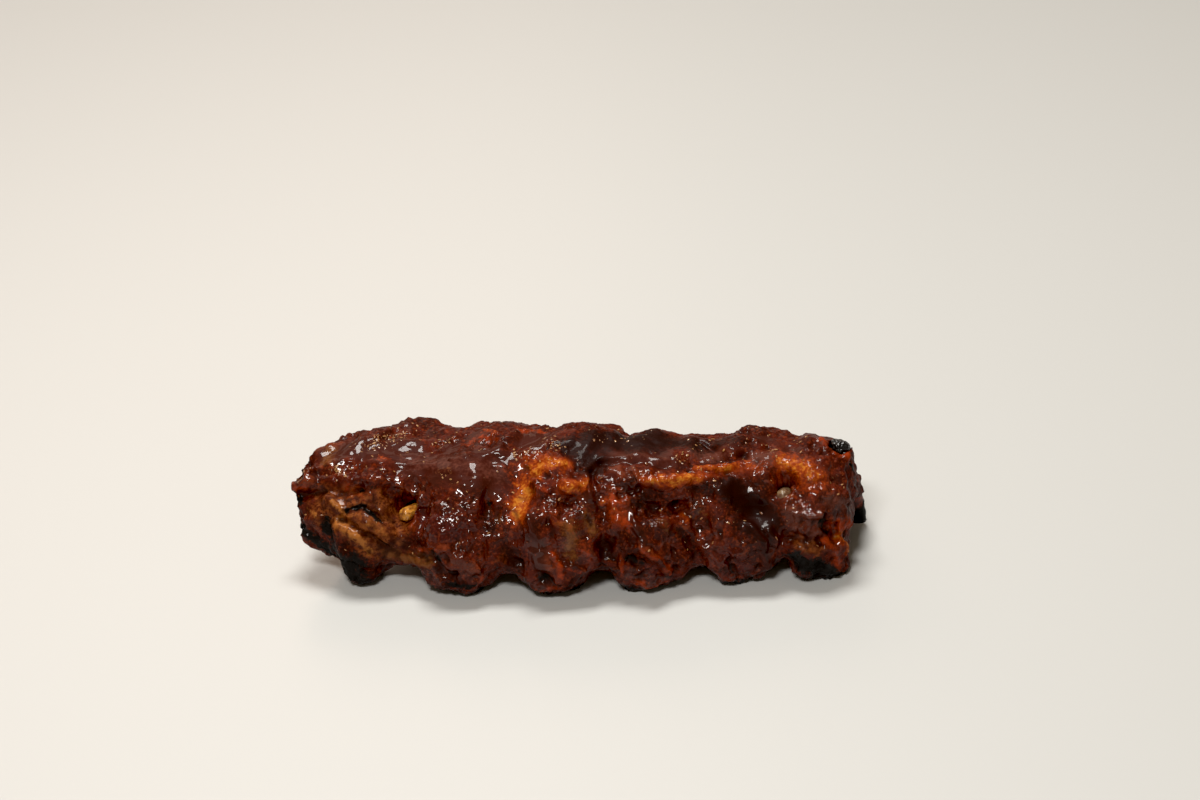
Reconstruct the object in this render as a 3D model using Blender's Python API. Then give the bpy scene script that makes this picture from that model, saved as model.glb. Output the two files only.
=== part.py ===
"""Barbecue ribs: half a rack of six pork ribs, lying arched on its cut edge with the meat side up.

The rack runs along X and its ribs run away from the front, roughly along +Y. Z is up and the origin
is at the bottom centre. The meat is one solid. Each rib bone runs through it in a channel of its
own and shows at both ends. Three short spurs of bone and gristle stand in sockets of their own.
"""

import math
from collections import namedtuple

import bmesh
import bpy
from mathutils import Matrix, Vector, noise

MM = 0.001

# The six ribs, from left to right. x and y are where the foot stands, heading the degrees that the
# rib turns from +Y to +X, and depth and rise are the size of its arch as a share of ARCH's. aside
# and back are how far the bone's far end strays from the arch.
Rib = namedtuple("Rib", "x y heading depth rise aside back")
RIBS = (
    Rib(-73.0 * MM, 16.5 * MM, 24.0, 1.12, 0.87, 0.0, 0.0),
    Rib(-42.5 * MM, 7.0 * MM, 20.0, 1.17, 0.96, 0.0, 0.0),
    Rib(-13.5 * MM, 4.5 * MM, 18.0, 1.11, 1.01, 0.0, 0.0),
    Rib(13.5 * MM, 5.2 * MM, 15.0, 0.95, 0.90, 0.0, 0.0),
    Rib(41.5 * MM, 8.5 * MM, 12.0, 0.89, 0.88, 0.0, 0.0),
    Rib(65.0 * MM, 9.0 * MM, 9.0, 0.67, 0.87, 7.5 * MM, -7.0 * MM),
)
LEFT_CUT = Rib(-93.0 * MM, 22.0 * MM, 36.0, 1.00, 0.78, 0.0, 0.0)
RIGHT_CUT = Rib(72.0 * MM, 11.0 * MM, 7.0, 0.60, 0.78, 0.0, 0.0)
FOOT_HALF_WIDTH = (5.0 * MM, 12.0 * MM)  # where it is whole, and where it has gone
END_FOOT = 0.5  # how much of the first foot the meat to its left keeps

# The arch of one rib, front to back, as the four points of a Bezier curve: (depth, height)
ARCH = ((0.0, 8.0 * MM), (0.0, 37.0 * MM), (39.0 * MM, 39.0 * MM), (47.0 * MM, 4.0 * MM))
BONE_ARCH = ((-3.6 * MM, 1.2 * MM), (-1.8 * MM, 39.0 * MM), (39.0 * MM, 41.0 * MM), (47.5 * MM, 1.4 * MM))
RIB_SPAN = (0.0, 0.90)  # the stretch of the arch that the meat covers over a rib
GAP_SPAN = (0.06, 1.0)  # and between two
LOIN_SPAN = (0.25, 0.95)  # the meat thins from the first share of the arch to the second

# Half thicknesses of the meat, at the thick front and at the thin far edge
OVER_RIB = (10.5 * MM, 6.0 * MM)
OVER_GAP = (8.8 * MM, 4.4 * MM)
UNDER_RIB = (8.0 * MM, 5.4 * MM)
UNDER_GAP = (6.0 * MM, 3.6 * MM)

# The left end's overhang: sideways for each millimetre below LEAN_HEIGHT
LEAN = 0.55
LEAN_TO_X = -68.0 * MM
LEAN_HEIGHT = 30.0 * MM

# The bones: half width along the rack, half thickness through the meat, at the front and far end
BONE_HALF_WIDTH = (4.8 * MM, 3.9 * MM)
BONE_HALF_THICKNESS = (3.5 * MM, 2.8 * MM)
BONE_CLEARANCE = 0.35 * MM
BONE_SIDES = 10
BONE_RINGS = 16

# The spurs: the middle of the buried end, the middle of the end that shows, and the radius
Spur = namedtuple("Spur", "name buried shown radius")
SPURS = (
    Spur("gristle_spur_left", (-54.0, 17.5, 20.5), (-59.2, 9.2, 22.9), 2.7 * MM),
    Spur("gristle_spur_right", (54.0, 14.5, 23.0), (52.4, 7.0, 26.4), 1.8 * MM),
    Spur("bone_spur_back", (69.2, 21.4, 30.8), (71.0, 22.8, 35.4), 3.2 * MM),
)
SPUR_PROFILE = ((0.0, 0.6), (0.12, 0.92), (0.4, 1.0), (0.75, 1.0), (0.92, 0.85), (1.0, 0.5))

# Dents and bumps in the surface: the middle, how far they reach along X, Y and Z, and their height
Mark = namedtuple("Mark", "x y z wide deep tall height")
MARKS = (
    Mark(-56.5, 9.5, 27.0, 5.5, 9.0, 5.0, -8.5),  # hollow round the left spur
    Mark(-57.5, 7.5, 21.5, 4.5, 8.0, 5.0, -3.0),
    Mark(-52.0, 6.0, 26.0, 3.0, 6.0, 7.0, 1.8),  # fold beside it
    Mark(52.2, 7.5, 29.0, 4.5, 7.0, 3.6, -5.0),  # hollow round the right spur
    Mark(14.5, 3.5, 27.5, 7.0, 7.0, 4.5, -4.2),  # recesses under the ledge
    Mark(24.0, 3.0, 26.5, 5.5, 7.0, 4.5, -4.2),
    Mark(44.0, 3.0, 24.5, 6.5, 7.0, 5.5, -3.6),
    Mark(19.0, 7.0, 32.5, 12.0, 5.0, 3.0, 2.2),  # the ledge
    Mark(-33.5, 4.0, 28.5, 4.0, 6.0, 4.5, -4.0),
    Mark(-10.3, 2.0, 29.5, 3.0, 6.0, 3.0, -2.5),
    Mark(-24.0, 7.6, 31.0, 4.5, 8.0, 5.0, -2.6),
    Mark(67.5, 1.6, 17.6, 4.5, 7.0, 4.5, -4.8),  # hollow in the right end
    Mark(74.5, 26.0, 18.0, 5.0, 6.0, 6.5, 4.0),  # lobe behind it
    Mark(-72.0, 9.0, 18.0, 9.0, 8.0, 4.0, 1.8),  # muscle bands of the left end
    Mark(-84.0, 13.0, 19.0, 6.0, 8.0, 3.0, 1.5),
)

# The mesh
STATIONS = 130
OUTER_POINTS = 34
INNER_POINTS = 26
CAP_POINTS = 8
VOXEL = 1.3 * MM
MEAT_TRIANGLES = 8600


def clear_scene():
    for obj in list(bpy.data.objects):
        bpy.data.objects.remove(obj, do_unlink=True)


def smooth_step(low, high, value):
    t = min(1.0, max(0.0, (value - low) / (high - low)))
    return t * t * (3.0 - 2.0 * t)


def mix(a, b, share):
    return a + (b - a) * share


def material(name, colour, roughness):
    made = bpy.data.materials.new(name)
    made.use_nodes = True
    shader = made.node_tree.nodes["Principled BSDF"]
    shader.inputs["Base Color"].default_value = (*colour, 1.0)
    shader.inputs["Roughness"].default_value = roughness
    shader.inputs["Metallic"].default_value = 0.0
    return made


def new_object(name, mesh, finish=None):
    obj = bpy.data.objects.new(name, mesh)
    bpy.context.scene.collection.objects.link(obj)
    if finish:
        mesh.materials.append(finish)
    return obj


def apply_modifiers(obj):
    """Makes the evaluated mesh the object's own."""
    graph = bpy.context.evaluated_depsgraph_get()
    made = bpy.data.meshes.new_from_object(obj.evaluated_get(graph), depsgraph=graph)
    old = obj.data
    obj.modifiers.clear()
    obj.data = made
    bpy.data.meshes.remove(old)


def cut(obj, cutter):
    """Takes the cutter's volume out of the object, and removes the cutter."""
    difference = obj.modifiers.new("cut", "BOOLEAN")
    difference.operation = "DIFFERENCE"
    difference.solver = "EXACT"
    difference.object = cutter
    apply_modifiers(obj)
    bpy.data.objects.remove(cutter, do_unlink=True)


# The lie of the rack

def bezier(points, t):
    """The point at t of a cubic curve in a section, and the unit direction there."""
    s = 1.0 - t
    weights = (s ** 3, 3 * s * s * t, 3 * s * t * t, t ** 3)
    slopes = (-3 * s * s, 3 * s * s - 6 * s * t, 6 * s * t - 3 * t * t, 3 * t * t)
    at = [sum(w * p[k] for w, p in zip(weights, points)) for k in (0, 1)]
    along = [sum(w * p[k] for w, p in zip(slopes, points)) for k in (0, 1)]
    size = math.hypot(*along)
    return at, (along[0] / size, along[1] / size)


def scaled(arch, rib):
    """An arch's four points at a rib's own size. The two ends keep their height."""
    return [(y * rib.depth, z * (rib.rise if i in (1, 2) else 1.0)) for i, (y, z) in enumerate(arch)]


def rib_at(x):
    """The rib that would stand at x: between two ribs their mean, and past the last the cut end."""
    stops = (LEFT_CUT, *RIBS, RIGHT_CUT)
    x = min(max(x, stops[0].x), stops[-1].x)
    right = next(i for i in range(1, len(stops)) if x <= stops[i].x)
    a, b = stops[right - 1], stops[right]
    share = (x - a.x) / (b.x - a.x)
    return Rib(x, *(mix(p, q, share) for p, q in zip(a[1:], b[1:])))


def foot_share(x):
    """1 over a rib's foot, 0 between two."""
    nearest = min(abs(x - rib.x) for rib in RIBS)
    return mix(1.0 - smooth_step(*FOOT_HALF_WIDTH, nearest), 1.0, END_FOOT if x < RIBS[0].x else 0.0)


def lean(x, height):
    """The sideways shift of the left end, which overhangs its foot."""
    return LEAN * (1.0 - smooth_step(LEFT_CUT.x, LEAN_TO_X, x)) * (LEAN_HEIGHT - height)


def half_thickness(t, foot):
    """The meat's thickness above and below its middle at t."""
    thin = smooth_step(*LOIN_SPAN, t)
    return mix(mix(*OVER_GAP, thin), mix(*OVER_RIB, thin), foot), mix(
        mix(*UNDER_GAP, thin), mix(*UNDER_RIB, thin), foot
    )


def place(rib, depth, height):
    """A point of a rib's section, from its depth behind the foot and its height."""
    turn = math.radians(rib.heading)
    along = Vector((math.sin(turn), math.cos(turn), 0.0))
    return Vector((rib.x + lean(rib.x, height), rib.y, height)) + along * depth


def join_rings(rings, name):
    """A closed mesh through rings of the same number of points."""
    bm = bmesh.new()
    made = [[bm.verts.new(point) for point in ring] for ring in rings]
    for a, b in zip(made, made[1:]):
        for i in range(len(a)):
            j = (i + 1) % len(a)
            bm.faces.new((a[i], a[j], b[j], b[i]))
    bm.faces.new(made[0][::-1])
    bm.faces.new(made[-1])
    bmesh.ops.recalc_face_normals(bm, faces=bm.faces)
    mesh = bpy.data.meshes.new(name)
    bm.to_mesh(mesh)
    bm.free()
    return mesh


# The bones

def bone_rings(rib, extra):
    """The rings of a rib bone, each side moved out by extra."""
    points = scaled(BONE_ARCH, rib)
    turn = math.radians(rib.heading)
    across = Vector((math.cos(turn), -math.sin(turn), 0.0))
    back = Vector((math.sin(turn), math.cos(turn), 0.0))
    rings = []
    for k in range(BONE_RINGS):
        t = k / (BONE_RINGS - 1)
        at, along = bezier(points, t)
        out = -along[1] * back + Vector((0.0, 0.0, along[0]))
        middle = place(rib, *at) + (across * rib.aside + back * rib.back) * t ** 3
        end = 1.0 if 0 < k < BONE_RINGS - 1 else 0.82
        half_width = mix(*BONE_HALF_WIDTH, t) * end + extra
        half_thick = mix(*BONE_HALF_THICKNESS, t) * end + extra
        turns = [2.0 * math.pi * i / BONE_SIDES for i in range(BONE_SIDES)]
        rings.append([middle + across * math.cos(a) * half_width + out * math.sin(a) * half_thick for a in turns])
    return rings


def spur_rings(spur, extra):
    """The rings of a spur, each side moved out by extra."""
    buried, shown = Vector(spur.buried) * MM, Vector(spur.shown) * MM
    turn = (shown - buried).to_track_quat("Z", "Y")
    rings = []
    for share, width in SPUR_PROFILE:
        radius = spur.radius * width + extra
        middle = buried.lerp(shown, share) + turn @ Vector((0.0, 0.0, extra * (2.0 * share - 1.0)))
        turns = [2.0 * math.pi * i / BONE_SIDES for i in range(BONE_SIDES)]
        rings.append([middle + turn @ Vector((math.cos(a), math.sin(a), 0.0)) * radius for a in turns])
    return rings


# The meat

def section(x):
    """The closed outline of the meat at x: over the top to the far edge, and back underneath."""
    rib, foot = rib_at(x), foot_share(x)
    arch = scaled(ARCH, rib)
    start, end = mix(GAP_SPAN[0], RIB_SPAN[0], foot), mix(GAP_SPAN[1], RIB_SPAN[1], foot)
    outline = []

    def add(t, across, on=0.0):
        at, along = bezier(arch, t)
        outline.append((at[0] - along[1] * across + along[0] * on, at[1] + along[0] * across + along[1] * on))

    def side(count, first, last, outer):
        for k in range(count):
            t = mix(first, last, k / (count - 1))
            above, below = half_thickness(t, foot)
            add(t, above if outer else -below)

    def cap(t, forward):
        above, below = half_thickness(t, foot)
        for k in range(1, CAP_POINTS):
            turn = math.pi * k / CAP_POINTS
            across = math.cos(turn) * forward
            add(t, across * (above if across > 0 else below), math.sin(turn) * forward * (above + below) / 2)

    side(OUTER_POINTS, start, end, True)
    cap(end, 1.0)
    side(INNER_POINTS, end, start, False)
    cap(start, -1.0)
    return [place(rib, y, z) for y, z in outline]


def remesh(obj, size):
    modifier = obj.modifiers.new("even", "REMESH")
    modifier.mode = "VOXEL"
    modifier.voxel_size = size
    apply_modifiers(obj)


def roughen(obj):
    """Lumps and crags of the cooked surface."""
    mesh = obj.data
    moves = []
    for v in mesh.vertices:
        p = v.co / MM
        lump = noise.noise(p / 11.0) * 1.8
        crag = noise.noise(p / 5.0 + Vector((7.0, 3.0, 1.0))) * 1.1
        moves.append(v.normal * (lump + crag) * MM)
    for v, move in zip(mesh.vertices, moves):
        v.co += move
    mesh.update()


def model_marks(obj):
    """Presses the dents in and draws the bumps out."""
    mesh = obj.data
    moves = []
    for v in mesh.vertices:
        x, y, z = v.co / MM
        height = 0.0
        for m in MARKS:
            far = ((x - m.x) / m.wide) ** 2 + ((y - m.y) / m.deep) ** 2 + ((z - m.z) / m.tall) ** 2
            height += m.height * math.exp(-far)
        moves.append(v.normal * height * MM)
    for v, move in zip(mesh.vertices, moves):
        v.co += move
    mesh.update()


def cut_floor(obj):
    """Flattens what reaches below the plate."""
    bpy.ops.mesh.primitive_cube_add(size=0.4, location=(0.0, 0.0, -0.2))
    cut(obj, bpy.context.object)


def make_meat(finish):
    stations = [mix(LEFT_CUT.x, RIGHT_CUT.x, k / (STATIONS - 1)) for k in range(STATIONS)]
    obj = new_object("meat", join_rings([section(x) for x in stations], "meat"), finish)
    remesh(obj, VOXEL)
    model_marks(obj)
    roughen(obj)
    thin = obj.modifiers.new("thin", "DECIMATE")
    faces = sum(len(p.vertices) - 2 for p in obj.data.polygons)
    thin.ratio = MEAT_TRIANGLES / faces
    apply_modifiers(obj)
    cut_floor(obj)
    for rib in RIBS:
        rings = bone_rings(rib, BONE_CLEARANCE)
        down, away = rings[0][0] - rings[1][0], rings[-1][0] - rings[-2][0]
        first = [p + down.normalized() * 2.0 * MM for p in rings[0]]
        last = [p + away.normalized() * 2.0 * MM for p in rings[-1]]
        cut(obj, new_object("channel", join_rings([first, *rings, last], "channel")))
    for spur in SPURS:
        cut(obj, new_object("socket", join_rings(spur_rings(spur, BONE_CLEARANCE), "socket")))
    return obj


def centre(nodes):
    """Moves the origin to the bottom centre of the whole."""
    points = [v.co for obj in nodes for v in obj.data.vertices]
    middle = [(min(p[k] for p in points) + max(p[k] for p in points)) / 2 for k in (0, 1)]
    for obj in nodes:
        obj.data.transform(Matrix.Translation((-middle[0], -middle[1], 0.0)))


def main():
    clear_scene()
    glazed_meat = material("glazed_meat", (0.16, 0.030, 0.012), 0.3)
    charred_bone = material("charred_bone", (0.30, 0.20, 0.10), 0.6)
    gristle = material("gristle", (0.45, 0.26, 0.08), 0.4)
    nodes = [make_meat(glazed_meat)]
    for number, rib in enumerate(RIBS, 1):
        name = f"rib_bone_{number}"
        nodes.append(new_object(name, join_rings(bone_rings(rib, 0.0), name), charred_bone))
    for spur in SPURS:
        finish = charred_bone if spur.name.startswith("bone") else gristle
        nodes.append(new_object(spur.name, join_rings(spur_rings(spur, 0.0), spur.name), finish))
    centre(nodes)


main()
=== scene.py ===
import math
import random
from collections import namedtuple

import bmesh
import bpy
import numpy as np
from mathutils import Matrix, Vector, noise
from mathutils.bvhtree import BVHTree


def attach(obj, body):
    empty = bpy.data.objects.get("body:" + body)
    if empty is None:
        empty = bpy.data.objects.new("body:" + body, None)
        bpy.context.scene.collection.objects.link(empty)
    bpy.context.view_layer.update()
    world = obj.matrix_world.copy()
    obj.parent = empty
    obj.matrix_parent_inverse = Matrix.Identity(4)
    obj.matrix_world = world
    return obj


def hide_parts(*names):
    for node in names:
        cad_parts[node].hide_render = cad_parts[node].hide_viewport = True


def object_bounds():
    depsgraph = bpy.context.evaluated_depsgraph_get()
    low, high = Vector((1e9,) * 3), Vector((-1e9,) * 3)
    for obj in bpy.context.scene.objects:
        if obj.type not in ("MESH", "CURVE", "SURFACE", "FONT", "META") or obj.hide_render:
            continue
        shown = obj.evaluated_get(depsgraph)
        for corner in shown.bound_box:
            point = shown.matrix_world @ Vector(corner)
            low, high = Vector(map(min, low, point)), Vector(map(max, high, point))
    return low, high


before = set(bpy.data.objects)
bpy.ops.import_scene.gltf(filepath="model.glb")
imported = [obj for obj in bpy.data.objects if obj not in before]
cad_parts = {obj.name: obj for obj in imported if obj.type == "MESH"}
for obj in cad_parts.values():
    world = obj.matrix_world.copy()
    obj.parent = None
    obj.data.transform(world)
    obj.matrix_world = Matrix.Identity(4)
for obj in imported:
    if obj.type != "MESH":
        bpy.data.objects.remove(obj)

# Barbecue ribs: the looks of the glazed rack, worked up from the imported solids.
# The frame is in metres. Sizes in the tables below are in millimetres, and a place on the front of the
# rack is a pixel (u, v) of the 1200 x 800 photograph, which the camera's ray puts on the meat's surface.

MM = 0.001
CAD_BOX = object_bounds()

# The camera of the photograph
PHOTO_SIZE = (1200, 800)
SENSOR_WIDTH = 36.0
LENS = 106.78
CAMERA_AT = Vector((0.006256, -0.909190, 0.571366))
CAMERA_DOWN = math.radians(29.949)
CAMERA_ROLL = math.radians(-2.006)
CAMERA_CLIP = (0.05, 20.0)

# The meat's mesh: squares this wide while it is shaped, and this many triangles once it is thinned out
MEAT_VOXEL = 0.52
MEAT_TRIANGLES = 190000

# Plugs fill the hidden part of the bones' channels, which lies above a slanted plane
PLUG_GROWTH = 0.7 * MM
PLUG_FLOOR = Vector((0.0, 0.0, 12.0 * MM))
PLUG_FLOOR_UP = Vector((0.0, -0.22, 1.0))

# A mark is a brush stroke on the front of the meat: its half width, its strength and its route in pixels
Mark = namedtuple("Mark", "width amount route")

# What the photograph shows there, kind by kind, each strength from 0 to 1
LOOKS = {
    # Orange-red rims, folds and glowing thin sauce
    "ember": (
        Mark(1.0, 1.0, ((418, 549), (432, 549), (448, 551))),
        Mark(1.3, 0.8, ((470, 588), (478, 585), (483, 575))),
        Mark(1.2, 1.0, ((550, 553), (557, 562), (563, 572), (558, 582))),
        Mark(0.9, 0.9, ((570, 566), (580, 572))),
        Mark(1.2, 0.7, ((548, 590), (562, 592), (577, 588))),
        Mark(1.5, 0.9, ((298, 489), (306, 490))),
        Mark(1.6, 0.7, ((411, 497), (415, 505), (416, 515), (412, 530))),
        Mark(0.9, 0.9, ((620, 556), (621, 566), (624, 576))),
        Mark(1.2, 0.9, ((634, 581), (646, 587), (666, 581))),
        Mark(1.2, 0.8, ((642, 549), (655, 559), (669, 573))),
        Mark(1.8, 0.9, ((838, 452), (848, 456), (850, 461))),
        Mark(3.2, 0.8, ((612, 500), (617, 510), (622, 522))),
        Mark(2.0, 0.6, ((606, 500), (626, 498), (640, 500))),
        Mark(2.8, 1.0, ((830, 522), (840, 527), (850, 526))),
        Mark(1.8, 0.9, ((828, 540), (834, 546), (840, 562), (838, 572))),
        Mark(2.5, 0.7, ((803, 484), (814, 492))),
        Mark(1.6, 0.7, ((697, 475), (715, 477), (730, 478))),
        Mark(2.6, 0.5, ((712, 482), (722, 490))),
        Mark(3.0, 0.5, ((345, 488), (356, 492), (366, 496))),
        Mark(1.8, 0.6, ((588, 468), (596, 476))),
        Mark(2.0, 0.6, ((588, 548), (592, 558))),
        Mark(1.4, 0.6, ((714, 572), (735, 580), (758, 574))),
        Mark(2.0, 0.8, ((520, 428), (532, 430), (543, 431))),
        Mark(2.5, 0.6, ((463, 440), (478, 436), (494, 436))),
        Mark(2.4, 0.5, ((376, 459), (390, 460))),
        Mark(1.5, 0.7, ((534, 484), (542, 490))),
        Mark(2.0, 0.7, ((819, 438), (825, 446))),
        Mark(4.0, 0.4, ((530, 500), (550, 515), (585, 540))),
        Mark(3.0, 0.4, ((480, 538), (500, 535), (512, 542))),
        Mark(4.0, 0.4, ((735, 470), (760, 466), (790, 478))),
    ),
    # Yellow and orange fat
    "fat": (
        Mark(2.6, 0.95, ((522, 494), (518, 503), (516, 514))),
        Mark(4.5, 0.4, ((530, 474), (520, 492), (515, 518))),
        Mark(2.0, 0.8, ((538, 470), (552, 464), (565, 462))),
        Mark(4.5, 0.4, ((518, 466), (535, 462), (556, 462))),
        Mark(0.8, 0.9, ((521, 490), (530, 486), (540, 480))),
        Mark(2.6, 0.75, ((566, 486), (582, 485))),
        Mark(1.5, 0.8, ((650, 482), (668, 479), (690, 478), (700, 478))),
        Mark(3.0, 0.35, ((650, 482), (668, 479), (700, 478))),
        Mark(1.6, 0.7, ((695, 468), (712, 468), (727, 467))),
        Mark(2.2, 0.5, ((730, 468), (748, 464), (757, 466))),
        Mark(4.4, 0.7, ((786, 464), (802, 468), (814, 476))),
        Mark(1.4, 0.6, ((681, 517), (688, 519))),
        Mark(1.2, 0.6, ((606, 496), (600, 502))),
        Mark(1.5, 0.9, ((839, 534), (848, 527))),
        Mark(2.0, 0.8, ((842, 541), (848, 553))),
        Mark(1.2, 0.6, ((484, 430), (493, 430))),
        Mark(1.4, 0.5, ((377, 459), (389, 459))),
        Mark(0.8, 0.6, ((424, 553), (436, 552))),
        Mark(1.6, 0.4, ((552, 508), (556, 514))),
    ),
    # Cooked meat that the sauce left bare
    "bare": (
        Mark(7.5, 1.0, ((325, 508), (345, 518), (375, 542))),
        Mark(5.0, 1.0, ((345, 500), (378, 505), (398, 528), (392, 545))),
        Mark(4.0, 0.5, ((505, 552), (500, 564))),
        Mark(3.5, 0.5, ((565, 525), (578, 540))),
        Mark(4.0, 0.45, ((680, 530), (692, 545))),
        Mark(3.0, 0.8, ((796, 543), (818, 546))),
    ),
    # Brighter strips of it, and one small patch of painted glints
    "tan": (
        Mark(1.6, 0.9, ((336, 524), (346, 530), (355, 536))),
        Mark(1.6, 1.0, ((361, 539), (367, 546), (371, 551))),
        Mark(1.4, 0.8, ((334, 501), (339, 508), (342, 514))),
        Mark(2.4, 0.5, ((352, 518), (366, 524), (384, 532))),
        # Painted glints
        Mark(1.2, 0.8, ((308, 508), (316, 514))),
        Mark(0.9, 0.6, ((350, 575), (368, 579))),
    ),
    # Olive, where meat or fat shines through
    "olive": (
        Mark(3.0, 1.0, ((390, 556), (406, 560), (424, 559))),
        Mark(2.6, 0.9, ((330, 452), (328, 462))),
        Mark(3.4, 0.9, ((566, 524), (574, 540), (570, 552))),
        Mark(2.4, 0.9, ((588, 516), (594, 530))),
        Mark(2.2, 0.6, ((660, 520), (668, 534))),
        Mark(1.8, 0.9, ((843, 541), (847, 553))),
        Mark(2.0, 0.5, ((440, 468), (452, 470))),
        Mark(2.5, 0.6, ((488, 508), (496, 520))),
        Mark(2.5, 0.5, ((800, 548), (815, 550))),
        Mark(2.0, 0.5, ((700, 510), (706, 516))),
    ),
    "char": (
        Mark(1.8, 1.0, ((294, 497), (299, 500))),
        Mark(2.4, 1.0, ((300, 528), (315, 540), (330, 553), (342, 566))),
        Mark(2.0, 1.0, ((326, 520), (329, 535))),
        Mark(0.9, 1.0, ((345, 513), (351, 509), (366, 508))),
        Mark(1.4, 1.0, ((366, 510), (377, 514), (383, 520))),
        Mark(4.0, 0.75, ((332, 548), (346, 562), (358, 560))),
        Mark(3.4, 0.95, ((346, 568), (356, 577), (366, 582))),
        Mark(1.0, 0.8, ((358, 487), (370, 487), (380, 488))),
        Mark(1.8, 1.0, ((452, 584), (462, 587), (470, 585))),
        Mark(1.5, 0.8, ((432, 556), (437, 562))),
        Mark(1.1, 0.9, ((484, 499), (488, 505))),
        Mark(4.4, 1.0, ((797, 560), (812, 568), (828, 576))),
        Mark(1.4, 0.9, ((851, 466), (855, 476))),
        Mark(1.8, 0.8, ((821, 522), (826, 530))),
        Mark(2.0, 0.8, ((541, 575), (548, 583))),
        Mark(2.4, 0.7, ((628, 560), (640, 568))),
        Mark(1.0, 0.6, ((731, 565), (732, 571))),
    ),
    # Sauce that lies smooth and glassy
    "smooth": (
        Mark(6.0, 1.0, ((345, 448), (375, 452), (405, 450))),
        Mark(6.5, 1.0, ((409, 460), (440, 462), (470, 466), (500, 472))),
        Mark(4.5, 0.9, ((440, 472), (480, 478), (512, 486))),
        Mark(4.0, 0.9, ((484, 452), (505, 462), (518, 480))),
        Mark(4.0, 1.0, ((605, 458), (635, 455), (668, 461))),
        Mark(6.0, 0.8, ((590, 446), (620, 446), (660, 444), (700, 440))),
        Mark(6.5, 1.0, ((736, 490), (750, 500), (762, 515))),
        Mark(4.0, 1.0, ((758, 528), (768, 546))),
        Mark(2.4, 1.0, ((529, 516), (535, 533), (541, 548))),
        Mark(2.4, 1.0, ((630, 512), (637, 528), (644, 541))),
        Mark(2.2, 1.0, ((584, 476), (590, 498))),
        Mark(3.2, 1.0, ((534, 552), (542, 568))),
        Mark(1.8, 0.8, ((586, 552), (594, 556))),
        Mark(3.0, 0.8, ((722, 445), (735, 452))),
        Mark(2.5, 0.8, ((762, 552), (768, 570))),
        Mark(3.0, 0.8, ((524, 492), (516, 516))),
    ),
    # Sauce full of grains
    "grainy": (
        Mark(6.0, 1.0, ((425, 495), (440, 505), (455, 520))),
        Mark(6.0, 1.0, ((460, 490), (478, 500), (470, 525))),
        Mark(3.0, 1.0, ((440, 482), (460, 480), (482, 478))),
        Mark(5.5, 1.0, ((600, 476), (618, 474), (636, 484))),
        Mark(4.0, 1.0, ((592, 490), (612, 492))),
        Mark(5.0, 0.9, ((825, 480), (845, 490), (850, 500))),
        Mark(3.5, 1.0, ((302, 482), (312, 474))),
        Mark(3.5, 1.0, ((330, 470), (345, 474))),
        Mark(4.0, 0.8, ((695, 450), (715, 455))),
        Mark(4.5, 0.8, ((720, 552), (745, 565), (740, 575))),
        Mark(3.5, 1.0, ((684, 496), (694, 508))),
        Mark(5.0, 0.8, ((370, 440), (395, 425))),
        Mark(4.5, 0.9, ((795, 515), (815, 525))),
        Mark(4.0, 0.8, ((450, 565), (475, 570))),
        Mark(2.5, 1.0, ((341, 480), (372, 479), (404, 482))),
        Mark(4.0, 0.8, ((752, 476), (775, 474))),
        Mark(3.0, 0.8, ((640, 575), (662, 580))),
        Mark(2.0, 1.0, ((500, 522), (508, 534), (514, 542))),
        Mark(2.0, 1.0, ((548, 492), (556, 500), (563, 510))),
    ),
    # Tan flecks of spice in it
    "fleck": (
        Mark(3.0, 1.0, ((366, 446), (382, 441), (398, 436))),
        Mark(1.6, 0.8, ((300, 480), (306, 474))),
        Mark(2.0, 0.8, ((336, 470), (346, 474))),
        Mark(1.6, 1.0, ((514, 454), (520, 458), (526, 452))),
        Mark(1.2, 1.0, ((532, 456), (535, 452))),
        Mark(2.0, 0.7, ((545, 440), (556, 446))),
        Mark(1.8, 1.0, ((673, 455), (681, 460), (687, 455))),
        Mark(1.8, 0.8, ((766, 447), (775, 454))),
        Mark(1.6, 0.5, ((440, 446), (448, 440))),
        Mark(2.5, 0.3, ((440, 470), (450, 482))),
        Mark(1.5, 0.6, ((694, 440), (700, 448))),
        Mark(2.5, 0.3, ((830, 475), (842, 482))),
        Mark(2.5, 0.3, ((600, 440), (640, 436))),
    ),
    # Deep red sauce
    "red": (
        Mark(6.0, 0.8, ((425, 515), (445, 530), (465, 525))),
        Mark(5.0, 0.6, ((520, 540), (528, 556))),
        Mark(5.0, 0.7, ((725, 550), (745, 568))),
        Mark(4.5, 0.6, ((645, 572), (665, 578))),
        Mark(3.0, 0.6, ((341, 476), (372, 476), (406, 480))),
        Mark(3.5, 0.7, ((600, 470), (590, 480))),
        Mark(3.0, 0.7, ((540, 486), (548, 495))),
        Mark(3.5, 0.6, ((690, 500), (684, 492))),
        Mark(3.0, 0.7, ((730, 448), (738, 452))),
        Mark(3.5, 0.6, ((840, 470), (850, 480))),
    ),
    # Dull, dusty mauve crust, and a painted sheen on the smooth sheets of the top
    "mauve": (
        Mark(5.0, 0.8, ((755, 460), (775, 456), (792, 462))),
        Mark(4.5, 0.8, ((695, 450), (715, 455))),
        Mark(5.0, 0.6, ((795, 520), (812, 520), (818, 532))),
        Mark(4.0, 0.4, ((770, 505), (785, 508))),
        Mark(3.5, 0.7, ((830, 500), (848, 502))),
        Mark(3.0, 0.6, ((452, 560), (470, 570))),
        Mark(3.0, 0.5, ((720, 548), (712, 542))),
        Mark(4.0, 0.5, ((610, 470), (630, 476))),
        # Painted sheen on the smooth sheets of the top
        Mark(6.0, 0.55, ((409, 460), (440, 462), (470, 466), (500, 474))),
        Mark(3.0, 0.6, ((615, 456), (640, 453), (665, 460))),
    ),
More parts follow.
